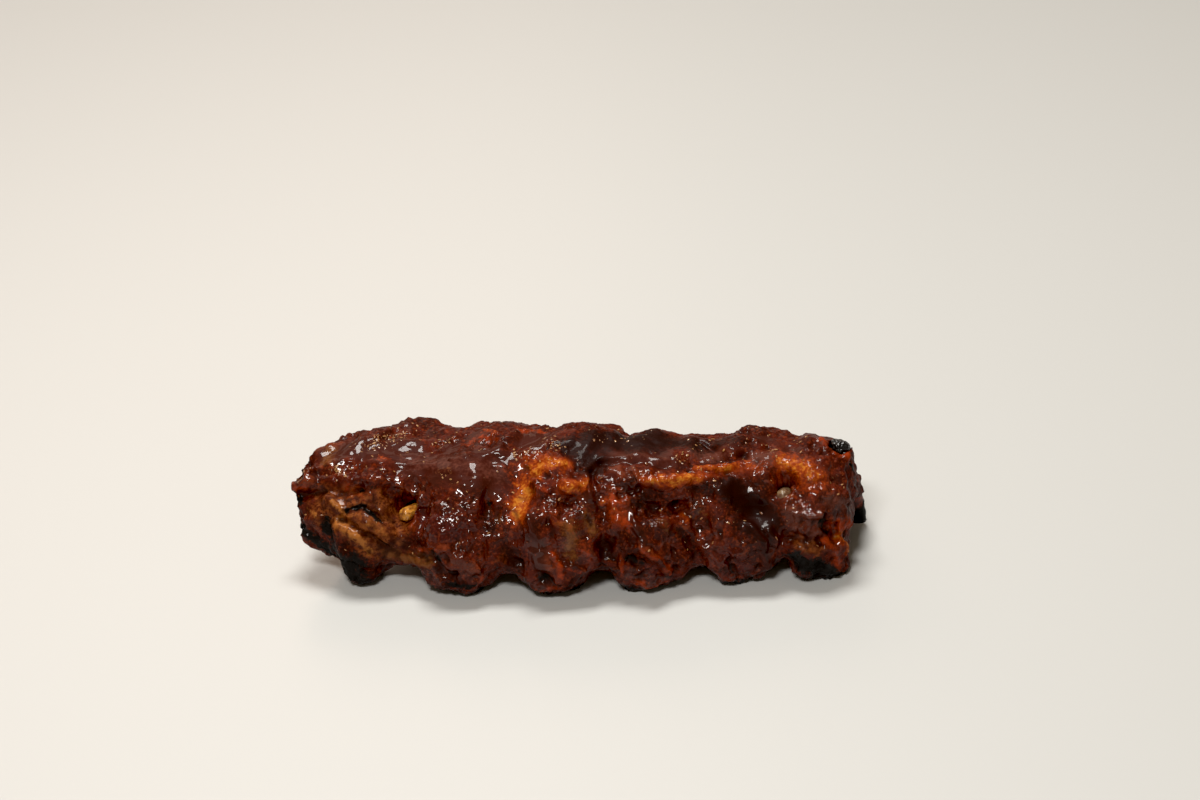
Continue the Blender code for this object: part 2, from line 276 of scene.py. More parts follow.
    # Near-black sauce, and painted shade: the back of the top and many recesses, gaps and hollows of the
    # front are painted near black
    "dark": (
        # Painted shade along the back of the top
        Mark(5.0, 0.95, ((568, 444), (585, 456), (592, 470))),
        Mark(8.0, 1.0, ((600, 438), (645, 436))),
        Mark(5.0, 0.8, ((640, 442), (670, 442), (692, 443))),
        Mark(4.0, 0.7, ((700, 446), (722, 442), (745, 440))),
        Mark(4.0, 0.65, ((650, 495), (664, 500), (672, 508))),
        Mark(3.0, 0.7, ((640, 505), (646, 520))),
        Mark(6.5, 1.0, ((736, 490), (748, 502), (764, 520))),
        Mark(2.6, 0.55, ((556, 500), (568, 505), (580, 510))),
        Mark(3.0, 0.7, ((487, 506), (490, 530))),
        Mark(3.0, 0.8, ((605, 548), (612, 560))),
        Mark(3.0, 0.7, ((686, 538), (696, 556))),
        Mark(1.6, 0.5, ((393, 500), (402, 498), (412, 501))),
        Mark(3.0, 0.6, ((415, 540), (425, 545))),
        Mark(4.0, 0.6, ((505, 548), (518, 565))),
        Mark(1.2, 0.6, ((777, 487), (785, 485), (793, 488))),
        Mark(3.0, 0.7, ((345, 545), (330, 535))),
        Mark(3.0, 0.6, ((540, 530), (536, 515))),
        Mark(3.0, 0.6, ((640, 535), (650, 545))),
        Mark(5.0, 0.5, ((460, 548), (478, 552))),
        Mark(3.0, 0.7, ((700, 488), (735, 484))),
        Mark(4.0, 0.7, ((350, 556), (366, 566), (378, 572))),
        Mark(4.5, 0.55, ((744, 528), (758, 543), (768, 558))),
    ),
}

# How much of its shine the sauce loses where each kind of look lies
DULLNESS = {"fat": 0.5, "bare": 0.65, "mauve": 0.3, "red": 0.15, "dark": 0.9, "char": 0.7}

# The relief that the photograph shows. Each strength, times FOLD_HEIGHT, is a height in millimetres.
FOLDS = (
    # The left end
    Mark(1.4, 1.1, ((292, 487), (315, 481), (345, 480), (375, 479), (400, 484), (414, 493))),
    Mark(1.4, -1.4, ((300, 496), (330, 491), (360, 489), (388, 493))),
    Mark(1.6, 0.8, ((326, 498), (340, 510), (352, 520))),
    Mark(2.2, 0.9, ((352, 519), (370, 525), (390, 535))),
    Mark(0.8, -1.3, ((345, 513), (351, 509), (366, 509), (377, 514), (384, 521))),
    Mark(0.9, -1.2, ((343, 518), (355, 527), (366, 534), (386, 548))),
    Mark(1.5, 0.7, ((336, 524), (346, 531), (357, 538))),
    Mark(1.3, -1.4, ((327, 520), (330, 536))),
    Mark(1.0, -1.2, ((300, 531), (303, 528))),
    Mark(3.0, 0.4, ((342, 552), (352, 564), (366, 568))),
    Mark(2.0, 2.6, ((423, 499), (425, 508), (422, 518), (413, 532))),
    Mark(1.4, 0.2, ((395, 500), (410, 500))),
    Mark(1.2, -1.2, ((412, 538), (418, 548))),
    Mark(2.4, 1.2, ((330, 468), (345, 474))),
    Mark(2.0, 1.2, ((303, 478), (312, 470))),
    Mark(1.5, -0.8, ((318, 480), (322, 470))),
    Mark(2.6, -1.6, ((301, 471), (308, 462))),
    Mark(2.4, 1.2, ((319, 456), (329, 449))),
    Mark(2.4, -1.4, ((395, 553), (420, 556))),
    Mark(1.6, 0.9, ((394, 520), (404, 524), (412, 521))),
    # The top
    Mark(0.9, -0.4, ((341, 465), (375, 466), (409, 468), (437, 473), (470, 476))),
    Mark(1.2, 0.3, ((341, 461), (375, 462), (409, 464))),
    Mark(0.9, -0.3, ((400, 452), (430, 450), (460, 453), (490, 462))),
    Mark(1.2, 0.3, ((420, 456), (450, 458), (480, 466), (500, 478))),
    Mark(0.8, -0.4, ((484, 448), (500, 458), (512, 472), (520, 486))),
    Mark(0.8, -0.3, ((492, 470), (506, 482), (518, 492))),
    Mark(2.5, 0.9, ((437, 443), (451, 441))),
    Mark(2.5, 0.8, ((366, 440), (398, 428))),
    Mark(3.5, -0.8, ((463, 438), (494, 438))),
    Mark(1.0, 0.7, ((600, 458), (635, 454), (668, 462))),
    Mark(1.0, -0.8, ((600, 464), (635, 461), (665, 467))),
    Mark(2.4, 1.0, ((722, 446), (736, 452))),
    Mark(1.0, -1.0, ((718, 458), (734, 460), (744, 454))),
    Mark(0.9, -0.8, ((700, 440), (712, 448), (718, 456))),
    Mark(3.5, 0.8, ((790, 464), (812, 474))),
    # The front, from the left
    Mark(1.6, 0.9, ((417, 548), (432, 549), (448, 552), (466, 560), (480, 572))),
    Mark(1.4, -1.2, ((430, 557), (440, 566), (452, 578))),
    Mark(0.8, 0.6, ((447, 568), (458, 572), (467, 570))),
    Mark(1.4, 0.8, ((470, 586), (481, 578))),
    Mark(1.0, -0.9, ((485, 500), (489, 505))),
    Mark(0.7, -1.2, ((486, 540), (486, 555), (485, 568))),
    Mark(1.6, -1.0, ((505, 555), (520, 565))),
    Mark(2.5, -0.8, ((516, 462), (530, 470))),
    Mark(1.6, 0.3, ((538, 468), (552, 464), (566, 461))),
    Mark(0.8, 0.7, ((521, 490), (530, 486), (540, 480))),
    Mark(3.0, -0.7, ((524, 492), (517, 505), (514, 520))),
    Mark(1.6, 1.0, ((534, 482), (543, 491))),
    Mark(2.2, 1.2, ((566, 486), (582, 485))),
    Mark(1.2, -1.2, ((558, 478), (560, 492))),
    Mark(1.8, 0.4, ((556, 502), (570, 505), (584, 509))),
    Mark(1.2, 1.4, ((584, 476), (588, 488), (592, 499))),
    Mark(1.3, 1.6, ((529, 516), (535, 533), (541, 549))),
    Mark(1.3, 1.5, ((630, 512), (637, 528), (644, 542))),
    Mark(1.4, -1.0, ((548, 520), (552, 540))),
    Mark(2.5, 0.8, ((568, 530), (575, 545))),
    Mark(2.6, 1.8, ((534, 552), (542, 566))),
    Mark(1.6, -1.5, ((541, 575), (550, 583))),
    Mark(0.9, 1.4, ((549, 552), (557, 562), (563, 573), (558, 582))),
    Mark(1.8, 1.4, ((586, 552), (594, 556))),
    Mark(0.9, 0.9, ((570, 566), (582, 571))),
    Mark(0.9, -1.0, ((600, 462), (592, 472), (594, 486))),
    Mark(3.6, 1.2, ((602, 476), (620, 474), (638, 482))),
    Mark(1.0, -1.2, ((598, 497), (620, 496), (642, 488))),
    Mark(2.2, 1.0, ((612, 500), (618, 520))),
    Mark(1.6, -1.0, ((606, 512), (602, 530), (606, 545))),
    Mark(1.8, -1.3, ((603, 545), (612, 562))),
    Mark(1.3, 1.1, ((645, 481), (668, 479), (690, 478), (700, 478))),
    Mark(1.2, 0.7, ((695, 468), (712, 467), (730, 466))),
    Mark(1.0, -0.8, ((690, 472), (712, 473), (730, 472))),
    Mark(2.8, -0.4, ((650, 494), (664, 500), (672, 508))),
    Mark(1.6, 0.8, ((664, 508), (672, 514), (682, 512))),
    Mark(2.2, 1.2, ((684, 496), (694, 508))),
    Mark(0.9, -1.0, ((677, 490), (676, 505), (679, 513))),
    Mark(1.0, 1.2, ((680, 517), (688, 519))),
    Mark(2.6, -1.5, ((628, 560), (642, 567))),
    Mark(0.9, 1.4, ((641, 548), (655, 558), (670, 574))),
    Mark(0.8, 1.0, ((620, 555), (621, 566), (625, 577))),
    Mark(0.9, 1.0, ((632, 580), (646, 587), (670, 578))),
    Mark(1.0, -0.9, ((676, 528), (688, 545), (700, 556))),
    Mark(1.2, 0.8, ((684, 524), (696, 540), (706, 550))),
    Mark(3.0, 1.2, ((709, 480), (722, 490))),
    Mark(3.4, -1.0, ((736, 490), (750, 502), (760, 514))),
    Mark(1.4, 0.8, ((715, 545), (730, 552), (745, 556))),
    Mark(1.0, -1.0, ((730, 562), (734, 572))),
    Mark(1.6, 1.3, ((750, 526), (758, 535), (764, 546))),
    Mark(1.5, 1.4, ((768, 530), (775, 543))),
    Mark(0.8, -0.8, ((760, 532), (768, 540), (772, 548))),
    Mark(1.6, 1.2, ((762, 552), (769, 566))),
    Mark(1.0, -1.0, ((758, 552), (760, 570))),
    # The right end
    Mark(1.4, 0.5, ((774, 485), (784, 482), (795, 486))),
    Mark(2.0, 1.8, ((773, 491), (778, 499), (786, 502), (794, 498), (798, 491))),
    Mark(1.3, 1.4, ((786, 512), (802, 514), (820, 516))),
    Mark(1.2, -1.3, ((784, 541), (800, 540), (822, 541))),
    Mark(1.3, -1.0, ((821, 521), (825, 528))),
    Mark(1.0, 1.0, ((832, 520), (842, 518), (850, 524))),
    Mark(1.2, -1.0, ((834, 536), (840, 542))),
    Mark(1.0, 1.0, ((841, 541), (848, 549), (842, 560))),
    Mark(1.0, 0.9, ((826, 549), (838, 560), (836, 572))),
    Mark(1.2, 1.0, ((822, 440), (826, 448))),
)


# Meshes

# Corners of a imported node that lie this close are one
WELD = 0.002 * MM


def new_object(name, data):
    obj = bpy.data.objects.new(name, data)
    bpy.context.scene.collection.objects.link(obj)
    return obj


def welded(node):
    """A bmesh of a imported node, its split corners joined again."""
    bm = bmesh.new()
    bm.from_mesh(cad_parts[node].data)
    bmesh.ops.remove_doubles(bm, verts=bm.verts, dist=WELD)
    return bm


def apply_modifier(obj, kind, **settings):
    """Runs one modifier on the object and keeps the mesh that it makes."""
    modifier = obj.modifiers.new(kind, kind)
    for name, value in settings.items():
        setattr(modifier, name, value)
    graph = bpy.context.evaluated_depsgraph_get()
    made = bpy.data.meshes.new_from_object(
        obj.evaluated_get(graph), preserve_all_data_layers=True, depsgraph=graph
    )
    obj.modifiers.clear()
    obj.data = made


def remesh(obj, voxel):
    """Gives the object an even mesh of squares that many millimetres wide."""
    apply_modifier(obj, "REMESH", mode="VOXEL", voxel_size=voxel * MM, use_smooth_shade=True)


def thin_out(obj, most):
    """Joins faces where the mesh is flattest, until it has that many triangles."""
    triangles = sum(len(face.vertices) - 2 for face in obj.data.polygons)
    apply_modifier(obj, "DECIMATE", ratio=most / triangles)
    keep_in_box(obj.data)


def points_of(mesh):
    """Where the mesh's points are, in millimetres."""
    flat = np.empty(len(mesh.vertices) * 3)
    mesh.vertices.foreach_get("co", flat)
    return flat.reshape(-1, 3) / MM


def normals_of(mesh):
    flat = np.empty(len(mesh.vertices) * 3)
    mesh.vertices.foreach_get("normal", flat)
    return flat.reshape(-1, 3)


def move_out(mesh, heights):
    """Moves each point out along its normal, by millimetres."""
    moved = points_of(mesh) + normals_of(mesh) * heights[:, None]
    mesh.vertices.foreach_set("co", (moved * MM).ravel())
    mesh.update()


def keep_in_box(mesh):
    """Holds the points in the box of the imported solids."""
    low, high = (np.array(corner) / MM for corner in CAD_BOX)
    mesh.vertices.foreach_set("co", (np.clip(points_of(mesh), low, high) * MM).ravel())
    mesh.update()


def write_mask(mesh, name, values):
    attribute = mesh.attributes.new(name, "FLOAT", "POINT")
    attribute.data.foreach_set("value", np.clip(values, 0.0, 1.0))


# Fields over the surface

# Blender starts its vector noise from the clock unless it is given a number
NOISE_SEED = 2
noise.seed_set(NOISE_SEED)

# A field has lumps of about that size, in millimetres. Its start says which stretch of the noise it takes.
Field = namedtuple("Field", "size start")

# A warp is a field that pushes points about, by about its reach
Warp = namedtuple("Warp", "size reach start")

# A form is a field on warped points
Form = namedtuple("Form", "warp field")

# How far from its middle a grain ends, as a share of its size
GRAIN_EDGE = 0.75


def in_noise(points, field):
    """Where the points are in the noise."""
    return (points / field.size + field.start).tolist()


def warped(points, warp):
    return points + warp.reach * np.array([noise.noise_vector(p) for p in in_noise(points, warp)])


def lumps(points, field):
    """Smooth lumps, from about -1 to 1."""
    return np.array([noise.noise(p) for p in in_noise(points, field)])


def lumpy(points, form):
    """The same, of a form."""
    return lumps(warped(points, form.warp), form.field)


def grains(points, form):
    """Round grains: 1 on top of each, 0 between them."""
    nearest = [noise.voronoi(p)[0][0] for p in in_noise(warped(points, form.warp), form.field)]
    return np.clip(1.0 - np.array(nearest) / GRAIN_EDGE, 0.0, 1.0)


def step(low, high, values):
    """Goes smoothly from 0 at low to 1 at high."""
    share = np.clip((values - low) / (high - low), 0.0, 1.0)
    return share * share * (3.0 - 2.0 * share)


def without(mask, share=1.0):
    """1 where the mask is 0, and that share less where it is 1."""
    return 1.0 - share * mask


# The camera

def make_camera():
    data = bpy.data.cameras.new("camera")
    data.lens = LENS
    data.sensor_width = SENSOR_WIDTH
    data.clip_start, data.clip_end = CAMERA_CLIP
    camera = new_object("camera", data)
    ahead = Vector((0.0, math.cos(CAMERA_DOWN), -math.sin(CAMERA_DOWN)))
    turn = ahead.to_track_quat("-Z", "Y").to_matrix().to_4x4() @ Matrix.Rotation(CAMERA_ROLL, 4, "Z")
    camera.matrix_world = Matrix.Translation(CAMERA_AT) @ turn
    bpy.context.scene.camera = camera
    return camera


def surface_finder(camera):
    """A function that gives the place on the meat, in millimetres, that a pixel of the photograph shows."""
    bm = welded("meat")
    tree = BVHTree.FromBMesh(bm)
    bm.free()
    turn = camera.matrix_world.to_3x3()
    focal = LENS / SENSOR_WIDTH * PHOTO_SIZE[0]

    def place(u, v):
        aim = turn @ Vector(((u - PHOTO_SIZE[0] / 2) / focal, (PHOTO_SIZE[1] / 2 - v) / focal, -1.0))
        hit = tree.ray_cast(CAMERA_AT, aim)[0]
        return np.array(hit) / MM if hit else None

    return place


# The meat

def channel_plug(bone):
    """Fills the hidden middle of a bone's channel, a little wider than the channel is."""
    bm = welded(bone)
    bm.normal_update()
    for vertex in bm.verts:
        vertex.co += vertex.normal * PLUG_GROWTH
    everything = [*bm.verts, *bm.edges, *bm.faces]
    bmesh.ops.bisect_plane(
        bm, geom=everything, plane_co=PLUG_FLOOR, plane_no=PLUG_FLOOR_UP, clear_inner=True
    )
    bmesh.ops.holes_fill(bm, edges=[edge for edge in bm.edges if edge.is_boundary])
    return bm


def filled_meat():
    """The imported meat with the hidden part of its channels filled, as one object."""
    bm = welded("meat")
    mesh = bpy.data.meshes.new("meat_skin")
    for bone in [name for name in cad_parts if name.startswith("rib_bone")]:
        plug = channel_plug(bone)
        plug.to_mesh(mesh)
        plug.free()
        bm.from_mesh(mesh)
    bm.to_mesh(mesh)
    bm.free()
    return new_object("meat_skin", mesh)


def nearness(points, mark, place):
    """1 on a mark's route over the surface, falling to 0 beside it."""
    route = [at for at in (place(u, v) for u, v in mark.route) if at is not None]
    far = np.full(len(points), np.inf)
    for a, b in zip(route, route[1:]):
        along = np.clip((points - a) @ (b - a) / ((b - a) @ (b - a)), 0.0, 1.0)
        far = np.minimum(far, np.linalg.norm(points - a - along[:, None] * (b - a), axis=1))
    return np.exp(-((far / mark.width) ** 2))


# The marks' edges wander, broadly and then finely, and so do the folds
MARK_WARPS = (Warp(6.0, 1.5, 0.0), Warp(1.8, 0.8, 5.0))
FOLD_WARP = Warp(4.0, 0.7, 3.0)

# How strongly a look comes in by itself, where no mark sets it
ALL_ROUND = 0.8


def marked_looks(points, place):
    """How strongly the marks of each kind cover each point, from 0 to 1."""
    for warp in MARK_WARPS:
        points = warped(points, warp)
    shares = {}
    for kind, marks in LOOKS.items():
        free = np.ones(len(points))
        for mark in marks:
            free *= without(nearness(points, mark, place), mark.amount)
        shares[kind] = 1.0 - free
    return shares


def all_looks(points, normals, place):
    """The marked looks, with those that hold all round, also where the photograph doesn't reach."""
    looks = marked_looks(points, place)
    height = points[:, 2] + 1.5 * lumps(points, Field(3.0, 8.0))
    singed = step(4.0, 1.0, height)
    underside = step(-0.1, -0.6, normals[:, 2]) * step(-0.5, 0.0, normals[:, 1])
    puddles = step(0.75, 0.95, normals[:, 2]) * step(-0.1, 0.35, lumps(points, Field(9.0, 3.0)))
    grit = step(0.0, 0.4, lumps(points, Field(8.0, 12.0)))
    held = {"char": singed, "bare": underside, "smooth": puddles, "grainy": grit}
    for kind, share in held.items():
        looks[kind] = np.maximum(looks[kind], ALL_ROUND * share)
    looks["grainy"] *= without(looks["smooth"]) * without(looks["bare"], 0.6)
    return looks


# Forms of the relief. Rills run downwards, flow runs along the rack.
CLODS = Form(Warp(7.0, 2.0, 1.0), Field(7.0, 1.0))
RILLS = Form(Warp(3.0, 1.2, 2.0), Field(3.0, 6.0))
RILL_STRETCH = (1.3, 1.3, 0.65)
WRINKLES = Form(Warp(2.0, 0.6, 11.0), Field(1.5, 13.0))
BEADS = Form(Warp(2.5, 0.9, 8.0), Field(2.2, 6.0))
FLOW = Form(Warp(5.0, 2.0, 0.0), Field(1.8, 9.0))
FLOW_STRETCH = (0.35, 1.0, 1.0)
PITS = Field(2.6, 15.0)
CRACKS = Field(1.9, 7.0)

# The bare meat's grain: the way it runs, how long it is drawn out, its threads and its bundles of them
GRAIN_LINE = np.array(Vector((0.86, 0.0, -0.5)).normalized())
GRAIN_STRETCH = 0.85
THREADS = Form(Warp(5.0, 1.0, 0.0), Field(1.4, 4.0))
BUNDLES = Form(Warp(6.0, 1.5, 2.0), Field(3.4, 14.0))

# Patches where the rills are deeper and the beads higher
RILL_PATCHES = Field(10.0, 31.0)
BEAD_PATCHES = Field(3.6, 17.0)

# How much relief each form gives, in millimetres, and what its patches add to it
FOLD_HEIGHT = 1.1
CLOD_HEIGHT = 1.6
RILL_HEIGHT = 0.7
RILL_PATCH_HEIGHT = 0.7
BEAD_HEIGHT = 0.40
BEAD_PATCH_HEIGHT = 0.80
WRINKLE_HEIGHT = 0.30
THREAD_HEIGHT = 0.22
BUNDLE_HEIGHT = 0.45
FLOW_HEIGHT = 0.20
CRACK_DEPTH = 0.6

# How far the whole skin is drawn in first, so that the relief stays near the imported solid
SKIN_DRAWN_IN = 0.2


def shape_meat(mesh, points, looks, place):
    """Gives the meat its relief, the large forms first. Returns a height of each point, for its colour: low
    places take painted shade, and the height is lowered near the floor so the lower front is painted
    darker.
    """
    bare, smooth = looks["bare"], looks["smooth"]
    rough = without(smooth)

    bent = warped(points, FOLD_WARP)
    folds = sum(fold.amount * nearness(bent, fold, place) for fold in FOLDS)
    clods = np.abs(lumpy(points, CLODS)) - 0.22
    soft_clods = CLOD_HEIGHT * clods * without(smooth, 0.75) * without(bare, 0.6)
    move_out(mesh, FOLD_HEIGHT * folds + soft_clods - SKIN_DRAWN_IN)

    rills = 0.22 - np.abs(lumpy(points * RILL_STRETCH, RILLS))
    pits = step(0.25, 0.5, lumps(points, PITS))
    depth = RILL_HEIGHT + RILL_PATCH_HEIGHT * step(-0.3, 0.4, lumps(points, RILL_PATCHES))
    move_out(mesh, depth * (rills - 0.4 * pits) * rough * without(bare, 0.8))

    depth = BEAD_HEIGHT + BEAD_PATCH_HEIGHT * step(-0.35, 0.35, lumps(points, BEAD_PATCHES))
    beads = depth * (grains(points, BEADS) - 0.4) * looks["grainy"]
    wrinkles = 0.2 - np.abs(lumpy(points, WRINKLES))
    creases = WRINKLE_HEIGHT * wrinkles * rough * without(bare)
    drawn_out = points - GRAIN_STRETCH * np.outer(points @ GRAIN_LINE, GRAIN_LINE)
    bundles = lumpy(drawn_out, BUNDLES)
    grain = (THREAD_HEIGHT * lumpy(drawn_out, THREADS) + BUNDLE_HEIGHT * bundles) * bare
    flow = FLOW_HEIGHT * lumpy(points * FLOW_STRETCH, FLOW) * smooth
    cracks = CRACK_DEPTH * looks["char"] * np.abs(lumps(points, CRACKS))
    move_out(mesh, beads + creases + grain + flow - cracks)
    keep_in_box(mesh)

    # Painted shade: below 13 mm the height is lowered, most of all below 4 mm, so the lower front is
    # painted darker
    shade_near_floor = step(13.0, 4.0, points[:, 2])
    height = folds * 0.3 + clods * 0.9 + (rills * 0.8 + wrinkles * 0.3 - 0.2 * pits) * rough
    height += 0.5 * bundles * bare - 0.12 * shade_near_floor
    return height


GLOSS_PATCHES = Field(3.5, 21.0)


def gloss_share(points, normals, facing, looks, hollow):
    """How much shine the sauce has. The relief shows in facing, and not yet in the normals."""
    patches = step(-0.1, 0.4, lumps(points, GLOSS_PATCHES))
    gloss = np.minimum(0.35 + 0.45 * patches + looks["smooth"] + 0.8 * looks["grainy"], 1.0)
    losses = [
        # In the hollows, on the top and on what faces down, then at the back and at the right end
        (hollow, 0.7),
        (step(0.6, 0.9, normals[:, 2]), 0.75),
        (step(0.35, -0.05, facing[:, 2]), 0.65),
        (step(0.0, 0.5, normals[:, 1]), 0.6),
        (step(0.35, 0.8, normals[:, 0]), 0.8),
    ]
    losses += [(looks[kind], loss) for kind, loss in DULLNESS.items()]
    for where, loss in losses:
        gloss *= without(where, loss)
    return gloss


def make_meat(place):
    skin = filled_meat()
    remesh(skin, MEAT_VOXEL)
    mesh = skin.data
    mesh.materials.clear()
    points, normals = points_of(mesh), normals_of(mesh)
    looks = all_looks(points, normals, place)
    height = shape_meat(mesh, points, looks, place)
    # Painted shade: the low places of the relief, less so under the orange rims, are darkened in the colour
    # and lose shine
    hollow = step(-0.05, -0.60, height) * without(looks["ember"], 0.8)
    gloss = gloss_share(points, normals, normals_of(mesh), looks, hollow)
    looks.update(gloss=gloss, hollow=hollow, thin=step(0.12, 0.70, height))
    for name, values in looks.items():
        write_mask(mesh, name, values)
    mesh.materials.append(meat_finish())
    thin_out(skin, MEAT_TRIANGLES)
    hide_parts("meat")
    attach(skin, "root")
    return skin


# Materials

class Finish:
    """A node material in the making. Its sizes are in millimetres."""

    def __init__(self, name):
        self.material = bpy.data.materials.new(name)
        self.material.use_nodes = True
        self.tree = self.material.node_tree
        self.shader = self.tree.nodes["Principled BSDF"]
        self.place = self.node("TexCoord", {}, "Object")

    def wire(self, value, socket):
        if isinstance(value, bpy.types.NodeSocket):
            self.tree.links.new(value, socket)
        elif socket.type == "RGBA":
            socket.default_value = (*value, 1.0)
        else:
            socket.default_value = value

    def node(self, kind, inputs, output=0, **settings):
        made = self.tree.nodes.new("ShaderNode" + kind)
        for name, value in settings.items():
            setattr(made, name, value)
        for name, value in inputs.items():
            self.wire(value, made.inputs[name])
        return made.outputs[output]

    def mask(self, name):
        return self.node("Attribute", {}, "Fac", attribute_name=name)

    def cloud(self, size, detail=3.0, shift=0.0):
        """Noise from 0 to 1, mostly near 0.5."""
        shifted = self.node("VectorMath", {0: self.place, 1: (shift * MM,) * 3}, operation="ADD")
        return self.node("TexNoise", {"Vector": shifted, "Scale": 1 / (size * MM), "Detail": detail})

    def cells(self, size):
        """How far the nearest cell's middle is."""
        return self.node("TexVoronoi", {"Vector": self.place, "Scale": 1 / (size * MM)}, "Distance")

    def math(self, operation, a, b):
        return self.node("Math", {0: a, 1: b}, operation=operation)

    def ramp(self, value, low, high, at_low=0.0, at_high=1.0):
        inputs = {"Value": value, "From Min": low, "From Max": high, "To Min": at_low, "To Max": at_high}
        return self.node("MapRange", inputs, interpolation_type="SMOOTHSTEP")

    def mix(self, share, a, b):
        return self.node("Mix", {"Factor": share, 6: a, 7: b}, 2, data_type="RGBA")

    def bump(self, height, depth, normal=None):
        """A relief of that depth where the height goes from 0 to 1."""
        inputs = {"Height": height, "Distance": depth * MM, "Strength": 1.0}
        if normal:
            inputs["Normal"] = normal
        return self.node("Bump", inputs)

    def set(self, **inputs):
        for name, value in inputs.items():
            self.wire(value, self.shader.inputs[name.replace("_", " ")])


# Colours are linear red, green and blue
DEEP_SAUCE = (0.034, 0.0038, 0.0014)
CLEAR_SAUCE = (0.074, 0.0080, 0.0026)
BRIGHT_SAUCE = (0.150, 0.0190, 0.0042)
DARK_SPECKS = (0.020, 0.0024, 0.0010)
BRIGHT_SPECKS = (0.230, 0.0420, 0.0090)
SMOOTH_SAUCE = (0.042, 0.0060, 0.0025)
DARK_MEAT = (0.056, 0.0105, 0.0034)
LIGHT_MEAT = (0.180, 0.0470, 0.0110)
MEAT_SPECKS = (0.052, 0.0085, 0.0030)
# Painted shade, laid into the hollows of the relief
PAINTED_HOLLOW_SHADE = (0.018, 0.0038, 0.0022)

# A coat of colour comes in as its mask goes from low to high, and its uneven edge strays by that much
Coat = namedtuple("Coat", "mask colour stray low high")

COATS_UNDER_SPECKS = (
    Coat("thin", (0.155, 0.0250, 0.0062), 0.9, 0.40, 1.20),
    Coat("red", (0.050, 0.0032, 0.0013), 0.5, 0.35, 0.75),
)
# Mauve crust, and painted sheen where the mauve marks lie on the smooth sheets of the top
MAUVE_CRUST_AND_SHEEN_COAT = Coat("mauve", (0.092, 0.0250, 0.0155), 0.5, 0.35, 0.75)
COATS_OVER_MEAT = (
    Coat("olive", (0.135, 0.0440, 0.0105), 0.9, 0.35, 1.05),
    Coat("ember", (0.235, 0.0270, 0.0042), 0.9, 0.30, 1.05),
    Coat("fat", (0.200, 0.0235, 0.0028), 0.7, 0.15, 0.65),
    Coat("fat", (0.310, 0.0620, 0.0060), 0.8, 0.40, 0.95),
    Coat("fat", (0.470, 0.1600, 0.0190), 1.0, 0.65, 1.15),
    Coat("tan", (0.310, 0.1050, 0.0215), 0.7, 0.35, 0.90),
    # Near-black sauce and painted shade, from the dark marks
    Coat("dark", (0.014, 0.0030, 0.0018), 0.6, 0.25, 0.90),
)
CHAR_COAT = Coat("char", (0.0062, 0.0048, 0.0042), 0.5, 0.35, 0.75)

# The glaze's domes and the crumbs under it
DOME_SIZE = 1.5
DOME_HEIGHT = 0.20
CRUMB_HEIGHT = 0.30


def meat_finish():
    f = Finish("glazed_meat_looks")
    broad = f.cloud(7.0)
    middle = f.cloud(2.0, detail=4.0, shift=30.0)
    fine = f.cloud(0.8, shift=60.0)
    smooth = f.mask("smooth")
    uneven = f.math("ADD", f.math("MULTIPLY", middle, 0.6), f.math("MULTIPLY", fine, 0.7))
    uneven = f.math("SUBTRACT", uneven, 0.65)

    def coated(colour, coat):
        stray = f.math("MULTIPLY", uneven, 2.0 * coat.stray)
        share = f.ramp(f.math("ADD", f.mask(coat.mask), stray), coat.low, coat.high)
        return f.mix(share, colour, coat.colour)

    colour = f.mix(f.ramp(broad, 0.35, 0.65), DEEP_SAUCE, CLEAR_SAUCE)
    colour = f.mix(f.ramp(middle, 0.55, 0.75), colour, BRIGHT_SAUCE)
    for coat in COATS_UNDER_SPECKS:
        colour = coated(colour, coat)
    colour = f.mix(f.ramp(fine, 0.54, 0.66, 0.0, 0.7), colour, DARK_SPECKS)
    colour = f.mix(f.ramp(fine, 0.44, 0.34, 0.0, 0.35), colour, BRIGHT_SPECKS)
    colour = f.mix(f.ramp(smooth, 0.3, 0.9), colour, SMOOTH_SAUCE)
    colour = coated(colour, MAUVE_CRUST_AND_SHEEN_COAT)
    meat = f.mix(f.ramp(middle, 0.35, 0.65), DARK_MEAT, LIGHT_MEAT)
    meat = f.mix(f.ramp(fine, 0.50, 0.62), meat, MEAT_SPECKS)
    colour = coated(colour, Coat("bare", meat, 0.5, 0.35, 0.75))
    for coat in COATS_OVER_MEAT:
        colour = coated(colour, coat)
    # Painted shade in the hollows of the relief
    colour = f.mix(f.ramp(f.mask("hollow"), 0.0, 1.0, 0.0, 0.85), colour, PAINTED_HOLLOW_SHADE)
    colour = coated(colour, CHAR_COAT)

    cell = f.cells(DOME_SIZE)
    dome = f.math("SUBTRACT", 1.0, f.math("MULTIPLY", cell, cell))
    glaze = f.bump(f.math("MULTIPLY", dome, f.mask("grainy")), DOME_HEIGHT)
    crumbs = f.bump(f.math("MULTIPLY", fine, f.math("SUBTRACT", 1.05, smooth)), CRUMB_HEIGHT, glaze)

    f.set(Base_Color=colour, Roughness=0.5, Normal=crumbs, Specular_IOR_Level=0.05)
    f.set(Coat_Weight=f.mask("gloss"), Coat_Roughness=0.05, Coat_IOR=1.5, Coat_Normal=glaze)
    return f.material


# The two colours between which each of the other finishes changes
FLECK_COLOURS = ((0.38, 0.19, 0.065), (0.17, 0.06, 0.018))
BONE_COLOURS = ((0.060, 0.0055, 0.0018), (0.220, 0.0240, 0.0050))
KNOB_COLOURS = ((0.014, 0.012, 0.011), (0.004, 0.0035, 0.0035))
YELLOW_GRISTLE = ((0.52, 0.22, 0.030), (0.20, 0.060, 0.008))
PALE_GRISTLE = ((0.20, 0.13, 0.065), (0.10, 0.04, 0.02))

